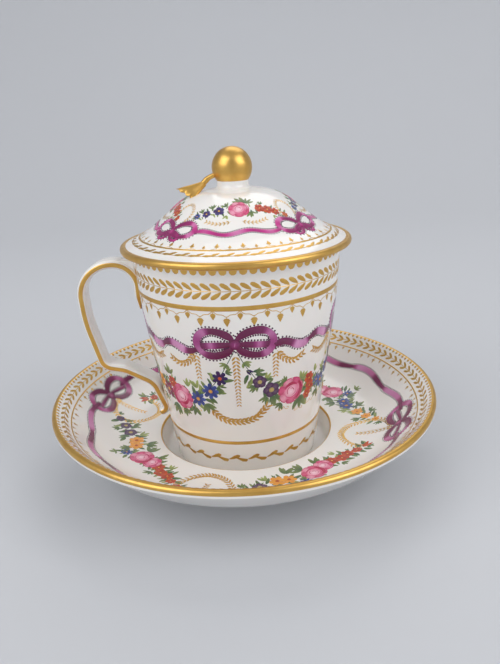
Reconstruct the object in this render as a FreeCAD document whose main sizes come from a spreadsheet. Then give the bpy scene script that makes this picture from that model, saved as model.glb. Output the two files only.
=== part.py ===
import FreeCAD, Part
import math
import os
import re
import Sketcher

# Covered cup and saucer in gilded porcelain: saucer with a deep well, bucket-shaped cup with a
# strap handle, and a domed lid with a ball finial. Millimetres, +Z up. The origin is on the common
# axis at the bottom of the saucer's foot ring, and the handle points to -X.

V = FreeCAD.Vector
doc = FreeCAD.newDocument("covered_cup_and_saucer")
sheet = doc.addObject("Spreadsheet::Sheet", "Sizes")
sums = doc.addObject("Spreadsheet::Sheet", "Sums")

# Driving dimensions. Heights of the cup count from its foot, heights of the lid from the cup's rim.
SIZES = [
    ("saucer_radius", 75.0),
    ("saucer_height", 30.0),
    ("saucer_wall", 2.8),
    ("saucer_lip", 1.2),
    ("border_width", 6.0),
    ("border_drop", 4.3),
    ("slope_run", 13.3),
    ("ledge_height", 11.5),
    ("well_clearance", 6.7),
    ("well_taper", 1.9),
    ("well_corner", 2.0),
    ("well_floor_height", 4.0),
    ("foot_ring_height", 1.4),
    ("foot_ring_width", 2.6),
    ("foot_ring_offset", 2.3),
    ("cup_height", 83.3),
    ("cup_foot_radius", 28.2),
    ("cup_knee_inset", 1.75),
    ("cup_knee_height", 59.9),
    ("cup_knee_bend", 200.0),
    ("cup_rim_radius", 38.6),
    ("cup_wall", 2.2),
    ("cup_floor", 2.6),
    ("cup_inner_corner", 7.0),
    ("cup_recess_height", 1.2),
    ("cup_foot_width", 3.2),
    ("cup_edge_chamfer", 0.5),
    ("strap_width", 9.0),
    ("strap_thickness", 3.2),
    ("strap_chamfer", 0.8),
    ("strap_seat", 1.5),
    ("handle_projection", 21.2),
    ("handle_top_height", 78.5),
    ("handle_tail_length", 18.0),
    ("handle_elbow_height", 37.9),
    ("handle_foot_height", 17.2),
    ("arch_inner_bend", 9.0),
    ("arch_outer_bend", 12.2),
    ("lid_overhang", 4.05),
    ("lid_bead", 1.2),
    ("lid_wall", 2.6),
    ("flange_inset", 3.3),
    ("flange_rise", 4.9),
    ("dome_radius", 16.5),
    ("dome_rise", 19.1),
    ("dome_bend", 22.0),
    ("collar_clearance", 0.6),
    ("collar_depth", 5.0),
    ("collar_wall", 2.2),
    ("neck_radius", 5.7),
    ("neck_rise", 23.5),
    ("ball_radius", 7.27),
    ("ball_rise", 27.6),
    ("twig_radius", 1.05),
    ("leaf_width", 12.4),
    ("leaf_thickness", 1.8),
    ("leaf_reach", 17.4),
]
for row, (alias, number) in enumerate(SIZES, start=1):
    sheet.set("A%d" % row, alias)
    sheet.set("B%d" % row, str(number))
    sheet.setAlias("B%d" % row, alias)
doc.recompute()

# Planes that two pieces share
RIM_PLANE = "well_floor_height + cup_height"
CUP_MOUTH = "cup_rim_radius - cup_wall"

# Sizes that follow from the driving ones: fits, insets, and bends that their runs have room for
FITS = {
    "bowl_bend": "min((bowl_radius - well_radius) * 1.44; slope_run * 2.25)",
    "bowl_radius": "(border_radius - slope_run)",
    "border_radius": "(saucer_radius - border_width)",
    "border_height": "(saucer_height - border_drop)",
    "well_radius": "(cup_foot_radius + well_clearance)",
    "wall_at_handle_foot": "(cup_foot_radius + (cup_knee_radius - cup_foot_radius)"
                           " * handle_foot_height / cup_knee_height)",
    "cup_knee_radius": "(cup_rim_radius - cup_knee_inset)",
    "handle_span": "(handle_top_height - handle_elbow_height)",
    "lid_radius": "(cup_rim_radius + lid_overhang)",
    "flange_radius": "(cup_rim_radius - flange_inset)",
}


def bound(formula):
    """A formula of size names, as an object outside the sheet of sizes has to write it."""
    for name, meaning in FITS.items():
        formula = re.sub(r"\b%s\b" % name, meaning, formula)
    return re.sub(r"[a-z]+_[a-z_]+", lambda word: "Sizes." + word.group(0), formula)


def value_of(formula):
    """The number that a formula of size names gives, worked out on the sheet of sums."""
    sums.set("A1", "=" + bound(formula))
    sums.recompute()
    return float(sums.get("A1"))


def vector(point):
    return V(value_of(point[0]), value_of(point[1]), 0)


def origin_plane(body, role):
    return [feature for feature in body.Origin.OriginFeatures if feature.Role == role][0]


def new_body(name):
    body = doc.addObject("PartDesign::Body", name)
    body.Label = name
    return body


def new_sketch(body, name, role="XZ_Plane"):
    sketch = body.newObject("Sketcher::SketchObject", name)
    sketch.AttachmentSupport = [(origin_plane(body, role), "")]
    sketch.MapMode = "FlatFace"
    return sketch


def bind_point(sketch, mark, point):
    """Ties a construction point to a pair of formulas, or to an axis where a formula is 0."""
    for formula, kind, axis in zip(point, ("DistanceX", "DistanceY"), (-2, -1)):
        if formula == "0":
            sketch.addConstraint(Sketcher.Constraint("PointOnObject", mark, 1, axis))
            continue
        size = Sketcher.Constraint(kind, -1, 1, mark, 1, value_of(formula))
        index = sketch.addConstraint(size)
        sketch.setExpression("Constraints[%d]" % index, bound(formula))


def arc_ends(sketch, index, begin):
    """The arc's end numbers in the order of the outline: a sketch counts every arc's ends
    anticlockwise."""
    start = sketch.getPoint(index, 1)
    return (1, 2) if start.distanceToPoint(begin) < 0.0001 else (2, 1)


def outline(sketch, corners, closed=True):
    """Straight runs between corners (x, y) or (x, y, radius), where a radius rounds the corner
    with an arc that touches both runs. Every corner and radius is tied to its formula."""
    count = len(corners)
    spots = [vector(corner[:2]) for corner in corners]
    marks = []
    for corner, spot in zip(corners, spots):
        mark = sketch.addGeometry(Part.Point(spot), True)
        bind_point(sketch, mark, corner[:2])
        marks.append(mark)
    entries = list(spots)
    exits = list(spots)
    arcs = {}
    for place, corner in enumerate(corners):
        if len(corner) < 3:
            continue
        spot = spots[place]
        back = (spots[place - 1] - spot).normalize()
        ahead = (spots[(place + 1) % count] - spot).normalize()
        half = back.getAngle(ahead) / 2
        radius = value_of(corner[2])
        entries[place] = spot + back * (radius / math.tan(half))
        exits[place] = spot + ahead * (radius / math.tan(half))
        inwards = (back + ahead).normalize()
        middle = spot + inwards * (radius / math.sin(half) - radius)
        arc = Part.Arc(entries[place], middle, exits[place])
        arcs[place] = sketch.addGeometry(arc, False)
        size = Sketcher.Constraint("Radius", arcs[place], radius)
        index = sketch.addConstraint(size)
        sketch.setExpression("Constraints[%d]" % index, bound(corner[2]))
    for place in range(count if closed else count - 1):
        following = (place + 1) % count
        run = sketch.addGeometry(Part.LineSegment(exits[place], entries[following]), False)
        for corner, own_end, meeting in ((place, 1, exits), (following, 2, entries)):
            if corner not in arcs:
                sketch.addConstraint(
                    Sketcher.Constraint("Coincident", run, own_end, marks[corner], 1))
                continue
            arc = arcs[corner]
            first, last = arc_ends(sketch, arc, entries[corner])
            arc_end = first if meeting is entries else last
            sketch.addConstraint(Sketcher.Constraint("Tangent", run, own_end, arc, arc_end))
            sketch.addConstraint(Sketcher.Constraint("PointOnObject", marks[corner], 1, run))


def turned(body, name, corners):
    """A solid turned about the upright axis from an outline in the XZ plane."""
    sketch = new_sketch(body, name + "_profile")
    outline(sketch, corners)
    feature = body.newObject("PartDesign::Revolution", name)
    feature.Profile = sketch
    feature.ReferenceAxis = (sketch, ["V_Axis"])
    feature.Angle = 360.0
    doc.recompute()


def swept(body, name, path, section):
    """A solid that carries a section sketch along a path sketch."""
    pipe = body.newObject("PartDesign::AdditivePipe", name)
    pipe.Profile = section
    pipe.Spine = path
    doc.recompute()


# Saucer: dished wall, flat ledge, deep well that the cup stands in, foot ring under the well
def make_saucer():
    body = new_body("saucer")
    foot = "well_radius + foot_ring_offset"
    slant = " saucer_wall * 0.72"
    turned(body, "saucer_turned", [
        ("0", "well_floor_height"),
        ("well_radius - well_taper", "well_floor_height", "well_corner"),
        ("well_radius", "ledge_height"),
        ("bowl_radius", "ledge_height + 0.9", "bowl_bend"),
        ("border_radius", "border_height"),
        ("saucer_radius - saucer_lip * 1.5", "saucer_height - saucer_lip * 0.2"),
        ("saucer_radius - saucer_lip", "saucer_height"),
        ("saucer_radius - saucer_lip * 0.4", "saucer_height"),
        ("saucer_radius", "saucer_height - saucer_lip * 0.4"),
        ("saucer_radius", "saucer_height - saucer_lip * 1.4"),
        ("saucer_radius - saucer_lip * 0.4", "saucer_height - saucer_lip * 1.9"),
        ("border_radius +" + slant, "border_height -" + slant),
        ("bowl_radius +" + slant, "ledge_height + 0.9 -" + slant, "bowl_bend + saucer_wall"),
        (foot + " + 1.2", "ledge_height - saucer_wall - 0.2"),
        (foot, "0"),
        (foot + " - foot_ring_width", "0"),
        (foot + " - foot_ring_width - 0.4", "foot_ring_height"),
        ("0", "foot_ring_height"),
    ])
    return body


# Cup: bucket-shaped body that stands on the well's floor, with a swept strap handle
def from_cup_foot(height):
    return "well_floor_height + " + height


def add_strap_handle(body):
    """The strap hugs the wall with its tail, arches out under the rim, runs down almost straight,
    turns in at the elbow and flicks out where it meets the wall again."""
    tail = "cup_knee_radius + strap_thickness / 2 - strap_seat + 0.7"
    tail_height = from_cup_foot("handle_top_height - handle_tail_length")
    top = from_cup_foot("handle_top_height")
    elbow = from_cup_foot("handle_elbow_height")
    foot = from_cup_foot("handle_foot_height")
    outer = "cup_rim_radius + handle_projection"
    path = new_sketch(body, "handle_centre_line")
    outline(path, [
        (tail, tail_height),
        (tail, top, "arch_inner_bend"),
        (outer, top, "min(arch_outer_bend; handle_span * 0.31)"),
        (outer + " - 1", elbow + " + handle_span * 0.458", "handle_span * 1.3"),
        (outer + " - 5.6", elbow, "5"),
        ("cup_rim_radius + 7.6", elbow + " - 1.7", "10"),
        ("wall_at_handle_foot + 4.9", elbow + " - 7.7", "8"),
        ("wall_at_handle_foot + 0.3", foot + " + 0.6", "2.2"),
        ("wall_at_handle_foot + 3.9", foot + " - 0.8"),
    ], closed=False)
    section = new_sketch(body, "strap_section", "XY_Plane")
    section.setExpression("AttachmentOffset.Base.x", bound(tail))
    section.setExpression("AttachmentOffset.Base.z", bound(tail_height))
    thick, wide = "(strap_thickness / 2)", "(strap_width / 2)"
    flat, face = "(strap_thickness / 2 - strap_chamfer)", "(strap_width / 2 - strap_chamfer)"
    outline(section, [
        (thick, face), (flat, wide), ("-" + flat, wide), ("-" + thick, face),
        ("-" + thick, "-" + face), ("-" + flat, "-" + wide), (flat, "-" + wide),
        (thick, "-" + face),
    ])
    swept(body, "strap", path, section)

    web = new_sketch(body, "strap_web_outline")
    web_top = top + " + strap_thickness / 2 - 0.2"
    web_root = "cup_knee_radius - cup_wall / 4"
    outline(web, [
        (web_root, web_top),
        (tail + " + arch_inner_bend", web_top),
        (tail + " + arch_inner_bend * 0.29", top + " - arch_inner_bend * 0.29"),
        (tail + " + 0.2", top + " - arch_inner_bend"),
        ("cup_knee_radius - cup_wall / 2", top + " - arch_inner_bend"),
    ])
    pad = body.newObject("PartDesign::Pad", "strap_web")
    pad.Profile = web
    pad.Midplane = True
    pad.setExpression("Length", bound("strap_width - strap_chamfer * 2"))
    doc.recompute()


def make_cup():
    body = new_body("cup")
    knee = from_cup_foot("cup_knee_height")
    recess = from_cup_foot("cup_recess_height")
    floor = "(cup_recess_height + cup_floor)"
    slope = "(cup_knee_radius - cup_foot_radius) / cup_knee_height"
    floor_radius = "cup_foot_radius - cup_wall + " + slope + " * " + floor
    turned(body, "cup_turned", [
        ("0", recess),
        ("cup_foot_radius - cup_foot_width - 0.4", recess),
        ("cup_foot_radius - cup_foot_width", "well_floor_height"),
        ("cup_foot_radius - cup_edge_chamfer", "well_floor_height"),
        ("cup_foot_radius + 0.1", "well_floor_height + cup_edge_chamfer"),
        ("cup_knee_radius", knee, "cup_knee_bend"),
        ("cup_rim_radius", RIM_PLANE + " - cup_edge_chamfer"),
        ("cup_rim_radius - cup_edge_chamfer", RIM_PLANE),
        (CUP_MOUTH + " + cup_edge_chamfer", RIM_PLANE),
        (CUP_MOUTH, RIM_PLANE + " - cup_edge_chamfer"),
        ("cup_knee_radius - cup_wall", knee, "cup_knee_bend"),
        (floor_radius, from_cup_foot(floor), "cup_inner_corner"),
        ("0", from_cup_foot(floor)),
    ])
    add_strap_handle(body)
    body.Placement = FreeCAD.Placement(V(0, 0, 0), FreeCAD.Rotation(V(0, 0, 1), 180))
    return body


# Lid: domed cover lying on the cup's rim, with a collar inside the cup's mouth and a ball finial
def from_rim(height):
    return RIM_PLANE + " + " + height


def tilted_sketch(body, name, centre, turn):
    """A sketch whose plane stands anywhere: centre is three formulas, turn is a rotation."""
    sketch = new_sketch(body, name, "XY_Plane")
    sketch.AttachmentOffset = FreeCAD.Placement(V(0, 0, 0), turn)
    for axis, formula in zip("xyz", centre):
        sketch.setExpression("AttachmentOffset.Base." + axis, bound(formula))
    return sketch


def add_ellipse(sketch, long_radius, short_radius):
    """An ellipse about the sketch's origin, its long axis along the sketch's X."""
    big, small = value_of(long_radius), value_of(short_radius)
    ellipse = sketch.addGeometry(Part.Ellipse(V(big, 0, 0), V(0, small, 0), V(0, 0, 0)), False)
    sketch.exposeInternalGeometry(ellipse)
    sketch.addConstraint(Sketcher.Constraint("Coincident", ellipse, 3, -1, 1))
    long_axis, short_axis = ellipse + 1, ellipse + 2
    sketch.addConstraint(Sketcher.Constraint("Horizontal", long_axis))
    for axis, formula in ((long_axis, long_radius), (short_axis, short_radius)):
        index = sketch.addConstraint(Sketcher.Constraint("Distance", axis, 2 * value_of(formula)))
        sketch.setExpression("Constraints[%d]" % index, bound("2 * (" + formula + ")"))


LEAF_TURN = FreeCAD.Rotation(V(-0.42, 0.9, 0.15), V(0, 0, 1), V(-0.88, -0.42, -0.2), "ZXY")


def add_finial(body):
    """The ball is a gilt fruit on a short neck, and its twig bends down to a leaf on the dome."""
    ball = body.newObject("PartDesign::AdditiveSphere", "ball")
    ball.AttachmentSupport = [(origin_plane(body, "XY_Plane"), "")]
    ball.MapMode = "FlatFace"
    ball.setExpression("Radius", bound("ball_radius"))
    ball.setExpression("AttachmentOffset.Base.z", bound(from_rim("ball_rise")))
    doc.recompute()

    twig_height = from_rim("ball_rise - ball_radius * 0.39")
    leaf_base = "-(leaf_reach - 3.6)"
    twig_path = new_sketch(body, "twig_centre_line")
    outline(twig_path, [
        ("-(ball_radius - 1.6)", twig_height),
        ("-(ball_radius + 3.2)", twig_height, "3.2"),
        (leaf_base, from_rim("dome_rise + 0.3")),
    ], closed=False)
    turn = FreeCAD.Rotation(V(0, 1, 0), 90)
    centre = ("-(ball_radius - 1.6)", "0", twig_height)
    twig_section = tilted_sketch(body, "twig_section", centre, turn)
    circle = twig_section.addGeometry(Part.Circle(V(0, 0, 0), V(0, 0, 1), 1.0), False)
    twig_section.addConstraint(Sketcher.Constraint("Coincident", circle, 3, -1, 1))
    index = twig_section.addConstraint(Sketcher.Constraint("Radius", circle, 1.0))
    twig_section.setExpression("Constraints[%d]" % index, bound("twig_radius"))
    swept(body, "twig", twig_path, twig_section)

    stalk = tilted_sketch(
        body, "leaf_stalk_end", ("-(leaf_reach - 4.6)", "-0.4", from_rim("dome_rise + 0.5")),
        LEAF_TURN)
    add_ellipse(stalk, "twig_radius + 0.15", "twig_radius")
    tip = tilted_sketch(
        body, "leaf_outer_end", ("-leaf_reach", "-leaf_width * 0.48", from_rim("dome_rise - 2.1")),
        LEAF_TURN)
    add_ellipse(tip, "leaf_width / 2", "leaf_thickness / 2")
    leaf = body.newObject("PartDesign::AdditiveLoft", "leaf")
    leaf.Profile = stalk
    leaf.Sections = [tip]
    leaf.Ruled = False
    doc.recompute()


def make_lid():
    body = new_body("lid")
    collar = CUP_MOUTH + " - collar_clearance"
    collar_foot = from_rim("0 - collar_depth")
    turned(body, "lid_turned", [
        ("0", from_rim("neck_rise")),
        ("neck_radius", from_rim("neck_rise")),
        ("neck_radius", from_rim("dome_rise + 1.5"), "1.6"),
        ("dome_radius", from_rim("dome_rise"), "dome_bend"),
        ("flange_radius - 4.1", from_rim("flange_rise + 2.3"), "15"),
        ("flange_radius", from_rim("flange_rise")),
        ("lid_radius - lid_bead * 1.9", from_rim("lid_bead * 2")),
        ("lid_radius - lid_bead * 0.6", from_rim("lid_bead * 2")),
        ("lid_radius", from_rim("lid_bead * 1.4")),
        ("lid_radius", from_rim("lid_bead * 0.6")),
        ("lid_radius - lid_bead * 0.6", RIM_PLANE),
        (collar, RIM_PLANE),
        (collar + " - 0.3", collar_foot + " + 0.4"),
        (collar + " - 0.7", collar_foot),
        (collar + " - 0.3 - collar_wall", collar_foot),
        (collar + " - 0.3 - collar_wall", from_rim("lid_wall")),
        ("dome_radius - lid_wall * 0.42", from_rim("dome_rise - lid_wall * 0.95"),
         "dome_bend - lid_wall"),
        ("0", from_rim("dome_rise - lid_wall * 0.95 + 2")),
    ])
    add_finial(body)
    return body


pieces = [make_saucer(), make_cup(), make_lid()]
doc.removeObject(sums.Name)
doc.recompute()

for thing in doc.Objects:
    if "Invalid" in thing.State or "Error" in thing.State:
        raise RuntimeError(thing.Name + " failed: " + str(thing.State))
os.makedirs("parts", exist_ok=True)
for piece in pieces:
    shape = piece.Shape
    if shape.isNull() or not shape.isValid() or len(shape.Solids) != 1:
        raise RuntimeError(piece.Label + " isn't one valid solid")
    shape.exportStep("parts/" + piece.Label + ".step")
    print(piece.Label, round(shape.Volume, 1), shape.BoundBox)
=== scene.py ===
import math
import random

import bpy
from mathutils import Matrix, Vector


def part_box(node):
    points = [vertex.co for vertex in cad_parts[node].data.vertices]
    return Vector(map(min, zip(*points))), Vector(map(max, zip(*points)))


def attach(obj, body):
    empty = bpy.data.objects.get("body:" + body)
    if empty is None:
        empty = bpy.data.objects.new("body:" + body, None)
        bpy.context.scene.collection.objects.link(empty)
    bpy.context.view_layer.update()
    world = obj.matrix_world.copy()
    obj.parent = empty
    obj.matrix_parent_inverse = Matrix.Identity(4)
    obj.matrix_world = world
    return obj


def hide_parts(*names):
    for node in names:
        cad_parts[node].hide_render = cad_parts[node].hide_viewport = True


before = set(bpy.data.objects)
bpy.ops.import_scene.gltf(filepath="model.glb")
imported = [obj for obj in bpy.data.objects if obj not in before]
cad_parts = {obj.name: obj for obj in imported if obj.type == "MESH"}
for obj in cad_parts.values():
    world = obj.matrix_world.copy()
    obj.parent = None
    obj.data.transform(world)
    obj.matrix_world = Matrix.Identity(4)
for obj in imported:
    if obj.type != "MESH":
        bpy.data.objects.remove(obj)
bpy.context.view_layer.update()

bl_info = {
    "name": "Covered cup and saucer",
    "version": (1, 0, 0),
    "blender": (4, 5, 0),
    "location": "3D View > Sidebar > Porcelain",
    "description": "Glaze, painted flowers and burnished gilding on a covered cup and saucer",
    "category": "Add Mesh",
}

MM = 0.001
# How far marks stand off the glaze, and how far their edges sink into it, in millimetres
GILDING_LIFT = 0.07
PAINT_LIFT = 0.05
SINK = -0.012
# Distance in metres under which a turned piece's seam and poles are welded
WELD = 0.0000005
# Gilding takes its tone from its material, so its marks carry plain white
GOLD = (1, 1, 1)
# Degrees at which the first bow of each piece stands, and the wider gap after the lid's first
SAUCER_BOWS = -18.4
CUP_BOWS = -93.7
LID_BOWS, LID_BOW_GAP = -138.3, 98.5

# Radii and heights in millimetres that the frame gives
SAUCER_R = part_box("saucer")[1].x / MM - GILDING_LIFT
SAUCER_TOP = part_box("saucer")[1].z / MM - GILDING_LIFT
CUP_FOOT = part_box("cup")[0].z / MM
CUP_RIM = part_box("cup")[1].z / MM
LID_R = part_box("lid")[1].x / MM - GILDING_LIFT
BALL_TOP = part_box("lid")[1].z / MM


def linear(code):
    """An sRGB hex value as the linear colour that nodes and attributes take."""
    parts = [int(code[i:i + 2], 16) / 255 for i in (0, 2, 4)]
    return tuple(p / 12.92 if p <= 0.04045 else ((p + 0.055) / 1.055) ** 2.4 for p in parts)


def colour_setting(name, description, code):
    return bpy.props.FloatVectorProperty(
        name=name, description=description, subtype="COLOR", size=3, min=0, max=1,
        default=linear(code))


def length_setting(name, description, millimetres):
    return bpy.props.FloatProperty(
        name=name, description=description, default=millimetres * MM, min=0,
        subtype="DISTANCE", unit="LENGTH")


class PorcelainSizes(bpy.types.PropertyGroup):
    """Sizes of the decoration that a user would change"""

    turning_steps: bpy.props.IntProperty(
        name="Turning steps", description="Steps round each turned piece", default=240, min=48)
    bows: bpy.props.IntProperty(
        name="Bows", description="Ribbon bows round each piece", default=4, min=2, max=6)
    ribbon_width: length_setting("Ribbon width", "Width of the painted ribbon on the cup", 3.3)
    laurel_leaf: length_setting("Laurel leaf", "Length of a leaf in the cup's laurel band", 4.3)


class PorcelainColours(bpy.types.PropertyGroup):
    """Glaze, gilding and enamel colours"""

    glaze: colour_setting("Glaze", "White of the glazed porcelain", "F3F0EB")
    glaze_shade: colour_setting("Glaze shade", "Where the glaze lies thick", "ECE8E3")
    gold: colour_setting("Gold", "Burnished gilding", "E8BF6C")
    gold_worn: colour_setting("Worn gold", "Gilding rubbed thin", "C9984A")
    ribbon: colour_setting("Ribbon", "Cup's ribbon", "A03C80")
    ribbon_pale: colour_setting("Ribbon light", "Where a ribbon catches light", "D897C4")
    ribbon_dark: colour_setting("Ribbon fold", "Shaded face of the cup's ribbon", "650D43")
    ribbon_edge: colour_setting("Picot", "Dots along the ribbons' edges", "48083A")
    lid_ribbon: colour_setting("Lid ribbon", "Lid's ribbon", "C22F86")
    lid_ribbon_dark: colour_setting("Lid ribbon fold", "Shade of the lid's ribbon", "840A58")
    saucer_ribbon: colour_setting("Saucer ribbon", "Saucer's ribbon", "B24F86")
    saucer_ribbon_dark: colour_setting("Saucer ribbon fold", "Its shaded face", "6E0E45")
    rose: colour_setting("Rose", "Middle pink of the roses", "D93F7C")
    rose_pale: colour_setting("Rose light", "Pale inside of the roses", "F9D3DF")
    rose_deep: colour_setting("Rose shade", "Crimson strokes of the roses", "A5123F")
    green: colour_setting("Leaf", "Dark green of the leaves", "1D4F38")
    green_pale: colour_setting("Leaf light", "Yellow green of the leaves", "B4BC6C")
    blue: colour_setting("Blue flower", "Petals of the blue flowers", "4C66B8")
    blue_deep: colour_setting("Blue shade", "Shade of the blue flowers", "23265F")
    violet: colour_setting("Pansy", "Petals of the pansies", "3D1A4A")
    olive: colour_setting("Pansy heart", "Heart of the pansies", "C7B26A")
    orange: colour_setting("Orange flower", "Petals of the red flowers", "DE5A22")
    orange_deep: colour_setting("Orange shade", "Shade of the red flowers", "9E2A1B")
    yellow: colour_setting("Yellow flower", "Petals of the yellow flowers", "EBA83F")
    floor: colour_setting("Floor", "Floor and backdrop", "C6C8CC")


def sizes():
    return bpy.context.scene.porcelain_sizes


def tint(name):
    return tuple(getattr(bpy.context.scene.porcelain_colours, name))


def blend(first, second, share):
    return tuple(a + (b - a) * share for a, b in zip(first, second))


# Turned outlines: (radius, height) or (radius, height, rounding) in millimetres
SAUCER_OUTLINE = [
    (0, 4), (33, 4, 2), (34.9, 11.5, 0.6), (55.7, 12.4, 30), (69, 25.7, 40),
    (SAUCER_R - 1.8, SAUCER_TOP, 0.84), (SAUCER_R, SAUCER_TOP, 1.2),
    (SAUCER_R, SAUCER_TOP - 2.4, 0.84), (71.02, 23.68, 40), (57.72, 10.38, 32.8),
    (38.4, 8.5, 2.4), (37.2, 0.3, 0.3), (36.9, 0, 0.2), (34.6, 0, 0.3), (34.2, 1.4, 0.5),
    (0, 1.4)]
CUP_OUTLINE = [
    (0, CUP_FOOT + 1.2), (24.6, CUP_FOOT + 1.2, 0.3), (25, CUP_FOOT, 0.3),
    (28.2, CUP_FOOT, 0.7), (36.85, 63.9, 200), (38.6, CUP_RIM, 0.8),
    (36.4, CUP_RIM, 0.8), (34.65, 63.9, 200), (26.55, 7.8, 7), (0, 7.8)]
LID_OUTLINE = [
    (0, 110.8), (5.7, 110.8), (5.7, 107.9, 1.6), (16.5, 106.4, 22), (31.2, 94.5, 15),
    (35.3, 92.2, 1), (40.3, 89.66), (LID_R, 89.66, 1.16), (LID_R, 87.34, 1.16),
    (40.6, 87.3), (35.8, 87.3), (35.5, 82.3, 0.6), (33.3, 82.3, 0.5), (33.3, 89.9, 2),
    (15.41, 103.93, 19.4), (0, 105.93)]


def rounded(corners, grain=0.9):
    """The points of a run between corners, with an arc for each rounding."""
    points = []
    for place, corner in enumerate(corners):
        spot = Vector(corner[:2])
        if len(corner) < 3 or place in (0, len(corners) - 1):
            points.append(spot)
            continue
        back = (Vector(corners[place - 1][:2]) - spot).normalized()
        ahead = (Vector(corners[place + 1][:2]) - spot).normalized()
        half = back.angle(ahead) / 2
        centre = spot + (back + ahead).normalized() * (corner[2] / math.sin(half))
        first = spot + back * (corner[2] / math.tan(half)) - centre
        last = spot + ahead * (corner[2] / math.tan(half)) - centre
        sweep = first.angle_signed(last)
        steps = max(5, math.ceil(abs(sweep) * corner[2] / grain))
        for step in range(steps + 1):
            turn = -sweep * step / steps
            points.append(centre + Matrix.Rotation(turn, 2) @ first)
    return points


class Skin:
    """The painted face of a turned piece. A place on it is an angle and the millimetres along
    its profile. Seen from outside with the profile running up, right is `hand` times the angle."""

    def __init__(self, corners, hand=1):
        self.hand = hand
        self.profile = rounded(corners)
        self.lengths = [0.0]
        for first, last in zip(self.profile, self.profile[1:]):
            self.lengths.append(self.lengths[-1] + (last - first).length)

    def ring(self, along):
        """Radius and height there, and the outward direction as radius and height."""
        along = min(max(along, 0.0), self.lengths[-1] - 1e-6)
        span = next(i for i in range(len(self.lengths) - 1) if self.lengths[i + 1] > along)
        first, last = self.profile[span], self.profile[span + 1]
        run = (last - first).normalized()
        spot = first + run * (along - self.lengths[span])
        return spot.x, spot.y, self.hand * run.y, -self.hand * run.x

    def point(self, around, along, lift):
        radius, height, out, up = self.ring(along)
        radius += lift * out
        return (radius * math.cos(around) * MM, radius * math.sin(around) * MM,
                (height + lift * up) * MM)

    def along(self, radius=None, height=None):
        """Millimetres along the profile where it first passes a radius or a height."""
        goal, axis = (radius, 0) if height is None else (height, 1)
        for i, (first, last) in enumerate(zip(self.profile, self.profile[1:])):
            low, high = sorted((first[axis], last[axis]))
            if low <= goal <= high and high > low:
                share = (goal - first[axis]) / (last[axis] - first[axis])
                return self.lengths[i] + share * (last - first).length
        raise ValueError("the profile doesn't reach there")


class Place:
    """A motif's own flat axes on a skin: x to the right and y up, in millimetres."""

    def __init__(self, skin, degrees, along, turn=0.0):
        self.skin, self.degrees, self.along = skin, degrees, along
        self.turn = math.radians(turn)
        self.radius = skin.ring(along)[0]

    def at(self, x, y):
        right = x * math.cos(self.turn) - y * math.sin(self.turn)
        up = x * math.sin(self.turn) + y * math.cos(self.turn)
        return (math.radians(self.degrees) + self.skin.hand * right / self.radius,
                self.along + up)

    def beside(self, x, y, turn=0.0):
        around, along = self.at(x, y)
        return Place(self.skin, math.degrees(around), along, math.degrees(self.turn) + turn)


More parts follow.
